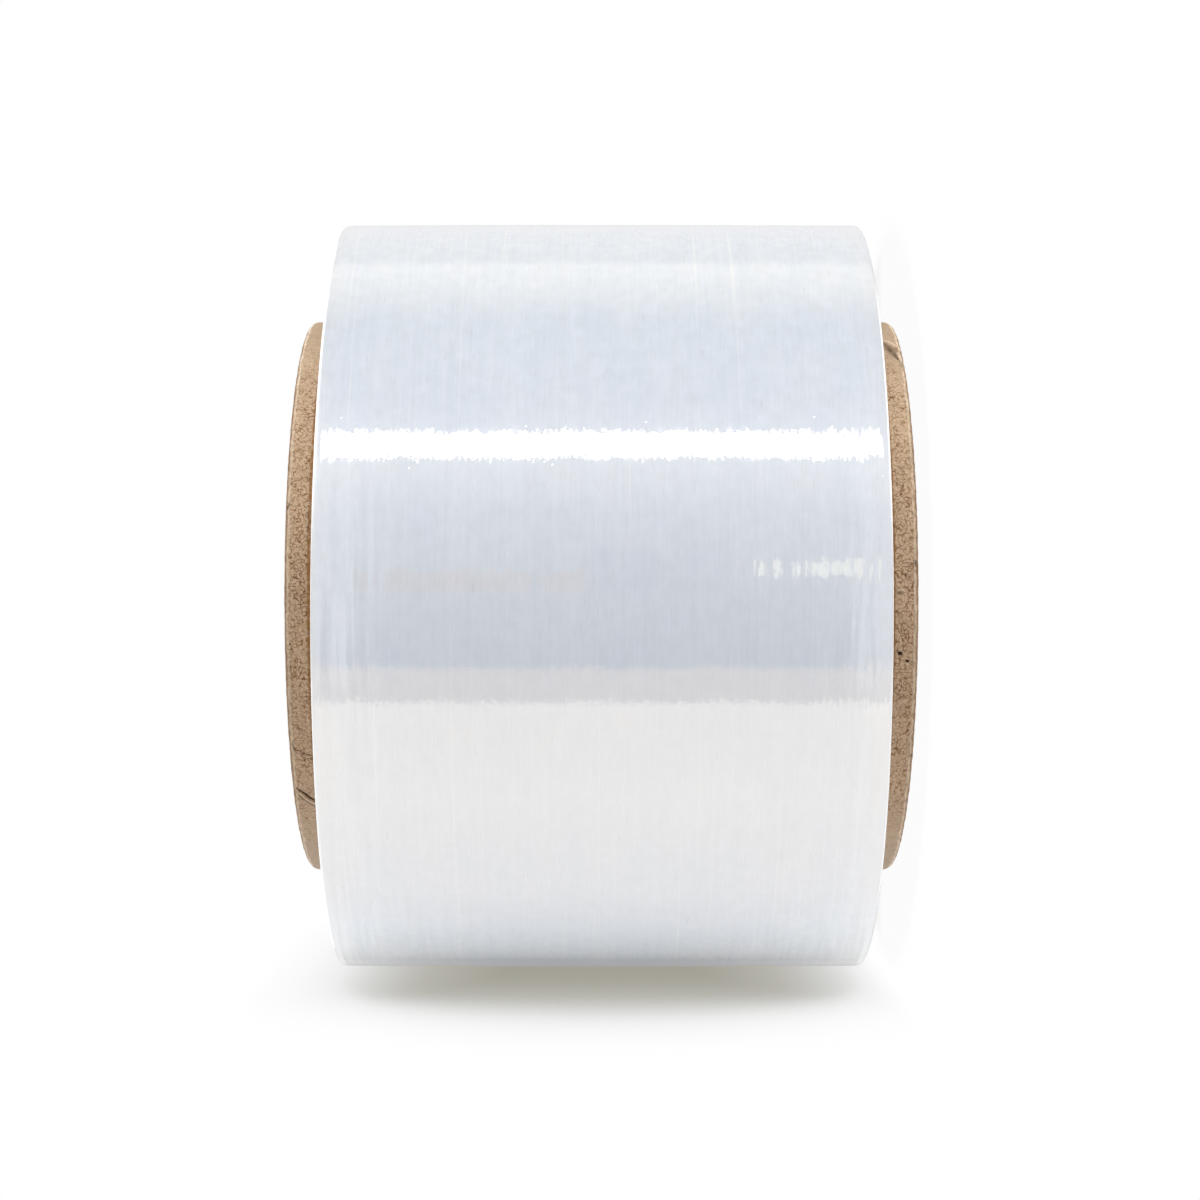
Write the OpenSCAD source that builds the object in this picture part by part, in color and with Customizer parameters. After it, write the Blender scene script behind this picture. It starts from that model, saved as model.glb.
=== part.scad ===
// Short roll of clear stretch film, wound on a cardboard tube that stands out past the film
// at both ends. The roll stands on the tube's lower end: its axis is Z, and the origin is the
// middle of that end.

/* [Film] */
// Width of the film, along the roll
film_w = 76.2; // [40:0.1:130]
// Depth of film wound on the tube, halfway along the roll
film_depth = 14.4; // [6:0.1:60]
// Rounding of the film's two outer rims
film_rim_r = 0.4; // [0.2:0.05:0.9]
// How much the roll's radius falls from halfway along to its rims
film_crown = 0.1; // [0.02:0.01:0.5]

/* [Turns on the film's end faces] */
// Width of a band of turns that lie level with each other
band_w = 1.2; // [0.8:0.1:3]
// Most that a band lies back from the film's full width
band_back = 0.35; // [0.05:0.05:0.8]
// Width of the slope from one band to the next
band_slope = 0.16; // [0.06:0.02:0.3]

/* [Cardboard tube] */
// Bore of the tube, which takes a spindle or a grip
bore_d = 76.2; // [50:0.1:80]
// Wall of the tube
tube_wall = 3.2; // [2.6:0.1:6]
// How far the tube stands out past the film at each end
tube_overhang = 5.15; // [3.5:0.05:20]
// Rounding of the tube's outer edge at each end
lip_r = 1; // [0.4:0.1:1.4]
// Bevel of the bore's edge at each end
bore_bevel = 0.4; // [0.2:0.05:0.8]
// Gap between the tube and the first turn of film
wind_gap = 0.05; // [0.02:0.01:0.2]

/* [Paper plies of the tube] */
// Thickness of one ply of paper
ply_t = 0.4; // [0.3:0.05:0.8]
// Width of the groove between two plies on the cut ends
ply_groove_w = 0.14; // [0.06:0.02:0.2]
// Depth of that groove
ply_groove_depth = 0.12; // [0.05:0.01:0.3]

/* [Damage to the tube's outer ply] */
// Width of the torn crease at the lower end
tear_w = 1; // [0.6:0.1:1.6]
// Depth of the torn crease at its middle
tear_depth = 0.4; // [0.25:0.05:0.7]
// Width of the two cracks at the upper end
crack_w = 0.5; // [0.3:0.05:0.8]
// Depth of the two cracks
crack_depth = 0.35; // [0.1:0.05:0.6]

/* [Hidden] */
$fn = 144;
arc_steps = 5;
crown_steps = 8;

bore_r = bore_d / 2;
tube_r = bore_r + tube_wall;
tube_h = film_w + 2 * tube_overhang;
film_bore_r = tube_r + wind_gap;
film_r = film_bore_r + film_depth;
film_rim_outer_r = film_r - film_crown;

// Where the film starts and ends along the roll
film_low = tube_overhang;
film_high = film_low + film_w;

// Radii between which the bands of turns are spread, and how many fit
bands_from_r = film_bore_r;
bands_to_r = film_rim_outer_r - film_rim_r;
band_count = floor((bands_to_r - bands_from_r) / band_w);
band_pitch = (bands_to_r - bands_from_r) / band_count;

// How far back each band lies follows a sine: its step from band to band, and where it starts
// on the lower and the upper end face
band_step_angle = 97;
lower_start_angle = 0;
upper_start_angle = 60;

// The flat part of the tube's cut end, and the ply joints that show in it
cut_from_r = bore_r + bore_bevel + ply_groove_w;
cut_to_r = tube_r - lip_r - ply_groove_w;
ply_joints = [
    for (r = [bore_r + ply_t : ply_t : tube_r])
        if (r > cut_from_r && r < cut_to_r) r
];

// Angles round the tube are seen from above and start at -Y. Each place is an angle, the
// distance of the crease's middle from its end of the tube, and its lean from the roll's axis.
tear_place = [56, 1.35, -76];
tear_length = 8;
crack_places = [[-31.4, 1.8, -33], [-42.5, 1.7, -47]];
crack_length = 3.3;

// Points of a quarter circle about a centre, from one angle to another
function arc(centre, r, from, to) = [
    for (i = [0 : arc_steps])
        let (a = from + (to - from) * i / arc_steps)
            centre + r * [cos(a), sin(a)]
];

// A lower end's points turned over to make the upper end of a piece between two heights
function turned_over(points, low, high) = [
    for (i = [len(points) - 1 : -1 : 0])
        [points[i][0], low + high - points[i][1]]
];

// How far one band of turns lies back from the film's full width. The outermost lies at it.
function lies_back(band, start_angle) =
    band == band_count - 1 ? 0 : band_back * pow(sin(start_angle + band * band_step_angle), 2);

// The film's lower end face from its bore outward, as level bands joined by slopes
function bands_profile(start_angle) = [
    for (band = [0 : band_count - 1], side = [0, 1])
        let (
            edge = bands_from_r + (band + side) * band_pitch,
            inset = (side == 0 ? 1 : -1) * band_slope / 2,
            at_end = (band == 0 && side == 0) || (band == band_count - 1 && side == 1)
        )
            [edge + (at_end ? 0 : inset), film_low + lies_back(band, start_angle)]
];

// The film's rounded lower rim, from the last band to the outer surface
function rim_profile() = [
    for (i = [1 : arc_steps])
        arc([film_rim_outer_r - film_rim_r, film_low + film_rim_r], film_rim_r, -90, 0)[i]
];

// The film's outer surface between its rims, a little fuller halfway along
function crown_profile() = [
    for (i = [1 : crown_steps - 1])
        let (along = i / crown_steps)
            [film_r - film_crown * pow(2 * along - 1, 2), film_low + film_w * along]
];

// One lower end of the tube from its bore out to its outer face
function cut_end_profile() = concat(
    [[bore_r, bore_bevel], [bore_r + bore_bevel, 0]],
    [
        for (r = ply_joints, step = [-1, 0, 1])
            [r + step * ply_groove_w / 2, step == 0 ? ply_groove_depth : 0]
    ],
    arc([tube_r - lip_r, lip_r], lip_r, -90, 0)
);

// A round-bottomed groove of a given width and depth in the tube's outer face
module crease(place, height, length, width, depth) {
    rotate([0, 0, place[0] - 90])
        translate([tube_r + width / 2 - depth, 0, height])
            rotate([place[2], 0, 0])
                cylinder(h = length, d = width, center = true, $fn = 24);
}

module cardboard_core() {
    color("#b8946c")
        difference() {
            rotate_extrude()
                polygon(concat(
                    cut_end_profile(),
                    turned_over(cut_end_profile(), 0, tube_h)
                ));
            crease(tear_place, tear_place[1], tear_length, tear_w, tear_depth);
            for (place = crack_places)
                crease(place, tube_h - place[1], crack_length, crack_w, crack_depth);
        }
}

module film_roll() {
    color("#dfe6f0")
        rotate_extrude()
            polygon(concat(
                bands_profile(lower_start_angle),
                rim_profile(),
                crown_profile(),
                turned_over(rim_profile(), film_low, film_high),
                turned_over(bands_profile(upper_start_angle), film_low, film_high)
            ));
}

cardboard_core();
film_roll();
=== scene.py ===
# A roll of clear stretch film wound on a cardboard tube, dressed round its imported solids.
# The roll stands on its tube's lower end. The main camera lies on its side, so that the roll's
# axis runs across the picture as it does in the photograph: +X is up in it and +Z is left.
import math

import bpy
import numpy as np
from mathutils import Matrix, Vector


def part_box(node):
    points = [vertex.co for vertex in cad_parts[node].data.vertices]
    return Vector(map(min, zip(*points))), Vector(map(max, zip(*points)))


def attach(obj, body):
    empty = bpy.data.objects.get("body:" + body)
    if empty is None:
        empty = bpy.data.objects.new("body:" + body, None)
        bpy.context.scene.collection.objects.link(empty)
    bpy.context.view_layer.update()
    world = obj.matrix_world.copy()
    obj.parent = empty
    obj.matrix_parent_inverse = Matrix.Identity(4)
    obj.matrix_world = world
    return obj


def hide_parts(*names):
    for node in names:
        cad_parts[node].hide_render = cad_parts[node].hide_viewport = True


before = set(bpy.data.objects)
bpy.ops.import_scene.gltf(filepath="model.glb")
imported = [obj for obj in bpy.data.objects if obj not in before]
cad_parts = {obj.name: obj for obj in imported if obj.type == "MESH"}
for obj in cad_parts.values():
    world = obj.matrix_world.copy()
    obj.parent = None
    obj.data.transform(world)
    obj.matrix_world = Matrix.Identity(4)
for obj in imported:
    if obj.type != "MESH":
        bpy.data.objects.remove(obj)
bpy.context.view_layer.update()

MM = 0.001
TURN = 2 * math.pi

# Sizes that the frame gives
film_low, film_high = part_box("film_roll")
tube_low, tube_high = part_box("cardboard_core")
FILM_R = (film_high.x - film_low.x) / 2
FILM_FROM, FILM_TO = film_low.z, film_high.z
TUBE_R = (tube_high.x - tube_low.x) / 2
TUBE_FROM, TUBE_TO = tube_low.z, tube_high.z
ROLL_MIDDLE = Vector((0, 0, (TUBE_FROM + TUBE_TO) / 2))

# Sizes of the film, as in the solid
FILM_RIM_R = 0.4 * MM
FILM_CROWN = 0.1 * MM
WIND_GAP = 0.05 * MM
BAND_W = 1.2 * MM
BAND_BACK = 0.35 * MM
BAND_SLOPE = 0.16 * MM
BAND_STEP_ANGLE = math.radians(97)
LOWER_START_ANGLE = 0.0
UPPER_START_ANGLE = math.radians(60)

# Sizes of the tube, as in the solid
TUBE_WALL = 3.2 * MM
LIP_R = 1.0 * MM
BORE_BEVEL = 0.4 * MM
PLY_T = 0.4 * MM
PLY_GROOVE_W = 0.14 * MM
PLY_GROOVE_DEPTH = 0.12 * MM


# Shapes

def smooth_step(low, high, value):
    part = np.clip((value - low) / (high - low), 0, 1)
    return part * part * (3 - 2 * part)


def smooth_noise(rng, at, feature):
    """Random values of about unit size that change smoothly along a line, over a given length."""
    start = at.min()
    count = int((at.max() - start) / feature) + 3
    knots = rng.normal(size=count)
    place = (at - start) / feature
    index = np.floor(place).astype(int)
    part = smooth_step(0, 1, place - index)
    return knots[index] * (1 - part) + knots[index + 1] * part


def drifting_noise(rng, along, angles, feature_mm, harmonics, amount):
    """Noise along a line that also drifts slowly round the roll, with no seam."""
    feature = feature_mm * MM
    total = smooth_noise(rng, along, feature)[:, None] * np.ones_like(angles)[None, :]
    for harmonic in range(1, harmonics + 1):
        for wave in (np.cos(harmonic * angles), np.sin(harmonic * angles)):
            total = total + smooth_noise(rng, along, feature)[:, None] * wave[None, :]
    return total / math.sqrt(1 + harmonics) * amount


def new_object(name, points, faces):
    mesh = bpy.data.meshes.new(name)
    mesh.from_pydata(points, [], faces)
    mesh.update()
    made = bpy.data.objects.new(name, mesh)
    bpy.context.scene.collection.objects.link(made)
    return made


def turned_ring(name, radii, heights, angles):
    """A closed solid of revolution: rows are points of its section, columns are angles round Z.

    Angles start at -Y and grow towards +X, as the camera's side and the photograph's top do.
    """
    rows, columns = radii.shape
    x = radii * np.sin(angles)[None, :]
    y = -radii * np.cos(angles)[None, :]
    points = np.stack([x, y, heights], axis=2).reshape(-1, 3)
    row, column = np.meshgrid(np.arange(rows), np.arange(columns), indexing="ij")
    next_row, next_column = (row + 1) % rows, (column + 1) % columns
    corners = [(row, column), (row, next_column), (next_row, next_column), (next_row, column)]
    faces = np.stack([r * columns + c for r, c in corners], axis=2).reshape(-1, 4)
    piece = new_object(name, points.tolist(), faces.tolist())
    piece.data.shade_smooth()
    return piece


def arc_points(centre_r, centre_z, r, start, end, steps):
    turn = np.linspace(start, end, steps)
    return [(centre_r + r * math.cos(a), centre_z + r * math.sin(a)) for a in turn]


def turned_over(section, low, high):
    """A lower end's section as the upper end's, in the order that goes on round the solid."""
    return [(r, low + high - z) for r, z in reversed(section)]


# Film

FILM_SEED = 11
FILM_COLUMNS = 320
FACE_ROW_W = 0.26 * MM
OUTER_ROW_W = 0.56 * MM
RIM_STEPS = 7
SHOULDER_W = 0.8 * MM
SHOULDER_DROP = 0.05 * MM
SHOULDER_ROW_W = 0.2 * MM
# The flat of an end face, from the bore to the rim, and the level bands that share it
FACE_FROM = TUBE_R + WIND_GAP
FACE_TO = FILM_R - FILM_CROWN - SHOULDER_DROP - FILM_RIM_R
BAND_COUNT = int((FACE_TO - FACE_FROM) / BAND_W)
BAND_PITCH = (FACE_TO - FACE_FROM) / BAND_COUNT
# Keeps the flat's outer edge in the last band
JUST_INSIDE = 1e-6
# How far each end of the film stands out from its true width on average, and how much that
# wanders round the roll
LOWER_END_OUT, UPPER_END_OUT = 0.11 * MM, -0.03 * MM
LOWER_END_WANDER, UPPER_END_WANDER = 0.2 * MM, 0.28 * MM
# The loose tail, how far its edge wanders, and the closer columns beside it
TAIL_ANGLE = math.radians(205)
TAIL_STEP = 0.05 * MM
TAIL_WANDER, TAIL_WANDER_FEATURE = math.radians(0.5), 9 * MM
TAIL_ZONE_DEG, TAIL_COLUMN_DEG = 2.2, 0.2
# Unevenness: the length of its features in millimetres, how many waves it has round the roll,
# and its depth in millimetres
SINGLE_TURNS = (0.55, 3, 0.03)
LOOSE_TURNS = (3.0, 2, 0.06)
BROAD_GAUGE = (5.0, 2, 0.01)
FINE_GAUGE = (1.6, 4, 0.003)
# An end face has less of it towards its rim, over this distance
RIM_SETTLE = 1.2 * MM


def film_end_section():
    """Lower end face from the bore out, then the rounded rim, as radius and height."""
    steps = int((FACE_TO - FACE_FROM) / FACE_ROW_W)
    face = [(FACE_FROM + (FACE_TO - FACE_FROM) * i / steps, FILM_FROM) for i in range(steps + 1)]
    rim = arc_points(FACE_TO, FILM_FROM + FILM_RIM_R, FILM_RIM_R, -math.pi / 2, 0, RIM_STEPS)
    return face, rim[1:]


def film_wall_heights():
    """Heights of the outer face's rows, closer together at its two shoulders."""
    steps = int((FILM_TO - FILM_FROM - 2 * FILM_RIM_R) / OUTER_ROW_W)
    even = np.linspace(FILM_FROM + FILM_RIM_R, FILM_TO - FILM_RIM_R, steps + 1)
    shoulder = FILM_RIM_R + np.arange(SHOULDER_ROW_W, SHOULDER_W + OUTER_ROW_W / 2, SHOULDER_ROW_W)
    clear = FILM_RIM_R + SHOULDER_W + OUTER_ROW_W / 2
    plain = even[(even > FILM_FROM + clear) & (even < FILM_TO - clear)]
    return np.concatenate([FILM_FROM + shoulder, plain, (FILM_TO - shoulder)[::-1]])


def band_level(band, start_angle):
    """How far a whole band lies back. The outermost one is level with the film's width."""
    back = BAND_BACK * np.sin(start_angle + band * BAND_STEP_ANGLE) ** 2
    return np.where(band >= BAND_COUNT - 1, 0.0, back)


def band_back(radius, start_angle):
    """How far the turns at a radius lie back from the film's full width, in level bands."""
    place = np.clip((radius - FACE_FROM) / BAND_PITCH, 0, BAND_COUNT - JUST_INSIDE)
    band = np.floor(place)
    part = place - band
    half_slope = BAND_SLOPE / 2 / BAND_PITCH
    into_next = smooth_step(1 - half_slope, 1 + half_slope, part)
    from_last = smooth_step(-half_slope, half_slope, part)
    here = band_level(band, start_angle)
    from_before = np.where(band > 0, band_level(band - 1, start_angle), here)
    to_after = np.where(band < BAND_COUNT - 1, band_level(band + 1, start_angle), here)
    value = from_before + (here - from_before) * from_last
    return value + (to_after - here) * into_next


def make_film():
    """The wound film, from its banded end faces to the loose tail's edge."""
    rng = np.random.default_rng(FILM_SEED)
    around = np.linspace(-math.pi, math.pi, FILM_COLUMNS, endpoint=False)
    beside_tail = np.arange(-TAIL_ZONE_DEG, TAIL_ZONE_DEG + TAIL_COLUMN_DEG / 2, TAIL_COLUMN_DEG)
    beside_tail = np.radians(beside_tail) + TAIL_ANGLE - TURN
    angles = np.unique(np.round(np.concatenate([around, beside_tail]), 6))
    face, rim = film_end_section()
    section = face + rim + [(FILM_R, z) for z in film_wall_heights()]
    section += turned_over(rim, FILM_FROM, FILM_TO) + turned_over(face, FILM_FROM, FILM_TO)
    section = np.array(section)
    radii = np.repeat(section[:, :1], len(angles), axis=1)
    heights = np.repeat(section[:, 1:], len(angles), axis=1)

    face_rows = slice(0, len(face))
    top_rows = slice(len(section) - len(face), len(section))
    for rows, sign, start_angle in (
        (face_rows, 1, LOWER_START_ANGLE),
        (top_rows, -1, UPPER_START_ANGLE),
    ):
        at = radii[rows, 0]
        from_bore = at - at.min()
        settle = smooth_step(0, RIM_SETTLE, at.max() - at)[:, None]
        single = drifting_noise(rng, from_bore, angles, *SINGLE_TURNS) * MM
        loose = drifting_noise(rng, from_bore, angles, *LOOSE_TURNS) * MM
        back = band_back(at, start_angle)[:, None] + (np.abs(single) + np.abs(loose)) * settle
        heights[rows] += sign * back

    outer_rows = slice(len(face), len(section) - len(face))
    z = heights[outer_rows, 0]
    along = (z - FILM_FROM) / (FILM_TO - FILM_FROM)
    in_wall = np.arange(len(z))
    is_wall = ((in_wall >= len(rim)) & (in_wall < len(z) - len(rim)))[:, None]
    crown = -FILM_CROWN * (2 * along - 1) ** 2
    from_rim = np.minimum(z - FILM_FROM, FILM_TO - z) - FILM_RIM_R
    crown -= SHOULDER_DROP * np.clip(1 - from_rim / SHOULDER_W, 0, 1) ** 2
    gauge = drifting_noise(rng, z, angles, *BROAD_GAUGE) * MM
    gauge += drifting_noise(rng, z, angles, *FINE_GAUGE) * MM
    tail_wander = smooth_noise(rng, z, TAIL_WANDER_FEATURE) * TAIL_WANDER
    since_tail = (angles[None, :] - (TAIL_ANGLE - TURN) - tail_wander[:, None]) % TURN
    last_turn = -TAIL_STEP * (1 - since_tail / TURN)
    radii[outer_rows] += np.where(is_wall, crown[:, None], 0) + gauge + last_turn

    part = (heights - FILM_FROM) / (FILM_TO - FILM_FROM)
    low_out = LOWER_END_OUT - LOWER_END_WANDER * np.sin(angles)
    high_out = UPPER_END_OUT - UPPER_END_WANDER * np.sin(angles)
    heights += high_out[None, :] * part - low_out[None, :] * (1 - part)
    return turned_ring("wound_film", radii, heights, angles)


# Tube

TUBE_SEED = 23
TUBE_COLUMNS = 420
BORE_R = TUBE_R - TUBE_WALL
BORE_ROWS = 10
BORE_FIRST_ROW = 1.4 * BORE_BEVEL
FIRST_GROOVE_R = BORE_R + 2 * PLY_T
LIP_STEPS = 10
# The outer face has close rows up to a little way in under the film
OUTER_TUBE_ROW_W = 0.26 * MM
ROWS_UNDER_FILM = 1.0 * MM
# Marks lie outside this radius, on the lip's round and the outer face
MARKED_FROM_R = TUBE_R - 0.99 * LIP_R
SHARP_ANGLE = math.radians(50)
# The lip's unevenness, given as the film's is, the fold of its waves round the tube, and how far
# in from the end it is deepest and how wide it is, in millimetres
LIP_RAGGED = (0.8, 3, 0.03)
LIP_RAGGED_FOLD = 40
LIP_RAGGED_AT, LIP_RAGGED_W = 0.3, 0.5


def tube_end_section():
    """Lower cut end from the bore out to the outer face, as radius and height."""
    points = [(BORE_R, BORE_FIRST_ROW), (BORE_R, BORE_BEVEL), (BORE_R + BORE_BEVEL, TUBE_FROM)]
    joint = FIRST_GROOVE_R
    while joint < TUBE_R - LIP_R - PLY_GROOVE_W:
        points += [
            (joint - PLY_GROOVE_W / 2, TUBE_FROM),
            (joint, TUBE_FROM + PLY_GROOVE_DEPTH),
            (joint + PLY_GROOVE_W / 2, TUBE_FROM),
        ]
        joint += PLY_T
    points += arc_points(TUBE_R - LIP_R, TUBE_FROM + LIP_R, LIP_R, -math.pi / 2, 0, LIP_STEPS)
    top = FILM_FROM + ROWS_UNDER_FILM
    steps = int((top - TUBE_FROM - LIP_R) / OUTER_TUBE_ROW_W)
    heights = np.linspace(TUBE_FROM + LIP_R, top, steps + 1)[1:]
    return points + [(TUBE_R, z) for z in heights]


# Marks on the tube's outer face. Each is a line of points, an angle in degrees and a distance
# from its end in millimetres, with its half width in millimetres, its height, and its shade:
# a negative shade is painted shade in creases, pits and cracks, a positive one a painted
# highlight on raised folds and lifted edges. End 0 is the lower end and 1 the upper.
TUBE_MARKS = [
    # The crumpled tear in the lower end's outer ply, and the two folds beside it
    (0, [(62.0, 2.3), (58.9, 1.6), (55.2, 0.8)], 0.8, -0.3, -0.62),
    (0, [(60.3, 1.95), (58.6, 1.7)], 0.36, -0.06, -0.25),
    (0, [(57.7, 1.15), (56.0, 0.9)], 0.34, -0.04, -0.2),
    (0, [(56.0, 0.9), (53.9, 0.62), (51.0, 0.32)], 0.14, -0.1, -0.65),
    (0, [(63.2, 2.3), (61.2, 1.2), (59.0, 0.36)], 0.26, 0.24, 0.9),
    (0, [(60.4, 1.0), (58.9, 0.6)], 0.11, -0.06, -0.4),
    (0, [(58.0, 0.78), (56.6, 0.62), (54.9, 0.5)], 0.16, 0.14, 1.1),
    # Pits, scuffs and lifted fibres of the lower end
    (0, [(-10.85, 2.7), (-11.25, 2.4)], 0.25, -0.34, -2.2),
    (0, [(-10.4, 3.05), (-10.7, 2.8)], 0.14, -0.1, -0.8),
    (0, [(-12.45, 1.54), (-12.65, 1.42)], 0.22, -0.34, -2.4),
    (0, [(-12.8, 1.3), (-13.4, 0.7)], 0.1, -0.06, -0.5),
    (0, [(0.7, 3.1), (0.5, 2.7), (0.3, 2.2)], 0.17, -0.08, -0.75),
    (0, [(1.2, 3.0), (0.9, 2.3), (0.7, 1.5)], 0.13, 0.05, 0.6),
    (0, [(4.1, 2.1), (3.5, 1.6)], 0.13, -0.08, -0.8),
    (0, [(4.6, 1.8), (4.2, 1.5)], 0.1, 0.05, 0.6),
    (0, [(6.8, 0.42), (5.4, 0.4)], 0.16, -0.1, -1.0),
    (0, [(8.9, 2.55), (8.8, 2.35)], 0.14, -0.06, -0.8),
    (0, [(13.4, 3.5), (12.9, 2.9), (12.5, 2.5)], 0.13, -0.06, -0.8),
    (0, [(-3.0, 3.3), (-3.3, 2.9)], 0.13, -0.08, -0.8),
    (0, [(-18.3, 3.4), (-19.1, 2.7), (-20, 2.0)], 0.12, -0.06, -0.6),
    (0, [(-22.2, 2.15), (-22.4, 1.9)], 0.13, -0.06, -0.6),
    (0, [(-32.3, 0.36), (-33.1, 0.36)], 0.14, -0.06, -0.8),
    (0, [(25.7, 2.5), (24.8, 2.0), (23.7, 1.5)], 0.1, -0.05, -0.6),
    (0, [(24.5, 3.3), (24.2, 2.85)], 0.12, -0.06, -0.7),
    # A crease round the upper end, close to the film
    (1, [(16.4, 3.1), (15, 3.2), (14, 3.36), (13, 3.18), (12, 3.3), (9, 3.3)], 0.12, -0.1, -0.7),
    (1, [(17.9, 0.58), (17.2, 0.4), (16.5, 0.3)], 0.14, -0.06, -0.9),
    (1, [(17.3, 3.3), (17.1, 3.2)], 0.13, -0.06, -0.8),
    (1, [(-6.4, 3.7), (-7.4, 3.4)], 0.14, -0.06, -0.6),
    (1, [(-9.1, 0.8), (-9.5, 0.9)], 0.14, -0.1, -1.0),
    (1, [(-10.1, 1.0), (-10.5, 1.1)], 0.13, -0.1, -1.0),
    (1, [(-26.2, 1.55), (-26.9, 2.3)], 0.11, -0.06, -0.7),
    # Its two cracks
    (1, [(-29.9, 0.45), (-30.6, 0.65), (-31.2, 0.85), (-31.5, 1.7)], 0.12, -0.14, -0.95),
    (1, [(-31.5, 1.7), (-32.3, 1.9), (-33.1, 2.1)], 0.11, -0.1, -0.7),
    (1, [(-31.8, 2.05), (-32.3, 2.5), (-32.5, 3.1), (-32.8, 3.8)], 0.12, -0.12, -0.8),
    (1, [(-31.9, 1.0), (-32.2, 1.4)], 0.1, -0.05, -0.5),
    # Its deep crease, with a pale lifted edge below it
    (1, [(-40.8, 0.6), (-41.6, 1.0), (-42.3, 1.6), (-43.3, 2.1), (-45, 3.5)], 0.19, -0.34, -1.4),
    (1, [(-41.9, 0.8), (-44.2, 2.1), (-45.8, 3.4)], 0.26, 0.2, 0.95),
    (1, [(-42.0, 0.5), (-43.6, 1.4), (-44.9, 2.2), (-46.6, 3.4)], 0.16, -0.14, -1.0),
]
# How wide a mark is at its two tips, as a part of its full width
MARK_TIP = 0.45
# Columns are closer together over these angles, where the tube is marked, in degrees
MARKED_ANGLES = ((-47.5, -26), (-23, -17.5), (-14, -5.5), (-3.6, 18.4), (23, 26.5), (48, 66))
MARKED_COLUMN_DEG = 0.16


def tube_angles():
    """Columns round the tube, closer together where it is marked."""
    groups = [np.degrees(np.linspace(-math.pi, math.pi, TUBE_COLUMNS, endpoint=False))]
    groups += [np.arange(low, high, MARKED_COLUMN_DEG) for low, high in MARKED_ANGLES]
    return np.radians(np.unique(np.round(np.concatenate(groups), 3)))


def mark_field(angle_deg, inset_mm, end):
    """Height in millimetres and shade that the marks give at each point."""
    height = np.zeros_like(angle_deg)
    shade = np.zeros_like(angle_deg)
    mm_per_deg = TUBE_R / MM * math.radians(1)
    for mark_end, line, half_width, mark_height, mark_shade in TUBE_MARKS:
        lengths = [math.hypot((a1 - a0) * mm_per_deg, i1 - i0)
                   for (a0, i0), (a1, i1) in zip(line, line[1:])]
        covered = 0.0
        profile = np.zeros_like(angle_deg)
        for (a0, i0), (a1, i1), length in zip(line, line[1:], lengths):
            ux, uy = (a1 - a0) * mm_per_deg, i1 - i0
            px, py = (angle_deg - a0) * mm_per_deg, inset_mm - i0
            part = np.clip((px * ux + py * uy) / (length * length), 0, 1)
            travelled = (covered + part * length) / sum(lengths)
            width = half_width * (MARK_TIP + (1 - MARK_TIP) * np.sin(math.pi * travelled))
            away = np.hypot(px - part * ux, py - part * uy)
            profile = np.maximum(profile, np.exp(-((away / width) ** 2)))
            covered += length
        profile = profile * (end == mark_end)
        height += mark_height * profile
        shade += mark_shade * profile
    return height, shade


def make_tube():
    """The tube with its marks, whose painted shade and highlights its points keep for the material.
    """
    rng = np.random.default_rng(TUBE_SEED)
    angles = tube_angles()
    end = tube_end_section()
    bore_heights = np.linspace(TUBE_TO - 2 * BORE_BEVEL, TUBE_FROM + 2 * BORE_BEVEL, BORE_ROWS)
    section = end + turned_over(end, TUBE_FROM, TUBE_TO) + [(BORE_R, z) for z in bore_heights]
    section = np.array(section)
    along = np.roll(section, -1, axis=0) - np.roll(section, 1, axis=0)
    out = np.stack([along[:, 1], -along[:, 0]], axis=1)
    out /= np.linalg.norm(out, axis=1)[:, None]

    angle_deg = np.repeat(np.degrees(angles)[None, :], len(section), axis=0)
    z = np.repeat(section[:, 1:], len(angles), axis=1)
    inset = np.minimum(z - TUBE_FROM, TUBE_TO - z) / MM
    end_index = (z > ROLL_MIDDLE.z).astype(int)
    outside = (section[:, 0] > MARKED_FROM_R)[:, None]
    height, shade = mark_field(angle_deg, inset, end_index)
    ragged = drifting_noise(rng, section[:, 1], angles * LIP_RAGGED_FOLD, *LIP_RAGGED)
    at_lip = np.exp(-((inset - LIP_RAGGED_AT) / LIP_RAGGED_W) ** 2)
    proud = (height + ragged * at_lip) * outside * MM
    radii = section[:, :1] + out[:, :1] * proud
    heights = np.clip(section[:, 1:] + out[:, 1:] * proud, TUBE_FROM, TUBE_TO)
    piece = turned_ring("kraft_tube", radii, heights, angles)
    # The marks' painted shade and highlights, kept at the points
    mark_shade_and_highlight = piece.data.attributes.new("mark_shade_and_highlight", "FLOAT", "POINT")
    mark_shade_and_highlight.data.foreach_set("value", (shade * outside).astype(np.float32).ravel())
    piece.data.set_sharp_from_angle(angle=SHARP_ANGLE)
    return piece


# Shader helpers

def give(tree, socket, value):
    """Links a socket to another one, or sets the value of its own."""
    if isinstance(value, bpy.types.NodeSocket):
        tree.links.new(value, socket)
    else:
        socket.default_value = value


def node(tree, kind, x, y, **settings):
    """A node with its properties and sockets set by name, with _ for a space."""
    made = tree.nodes.new(kind)
    made.location = (x, y)
    for key, value in settings.items():
        if key in made.bl_rna.properties:
            setattr(made, key, value)
        else:
            give(tree, made.inputs[key.replace("_", " ")], value)
    return made


def node_in_order(tree, kind, x, y, values, **settings):
    """A node whose sockets are given in their order."""
    made = node(tree, kind, x, y, **settings)
    for socket, value in zip(made.inputs, values):
        give(tree, socket, value)
    return made


def math_node(tree, operation, x, y, *values):
    return node_in_order(tree, "ShaderNodeMath", x, y, values, operation=operation).outputs[0]


def vector_node(tree, operation, x, y, *values):
    made = node_in_order(tree, "ShaderNodeVectorMath", x, y, values, operation=operation)
    return made.outputs["Value" if operation == "LENGTH" else "Vector"]


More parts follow.
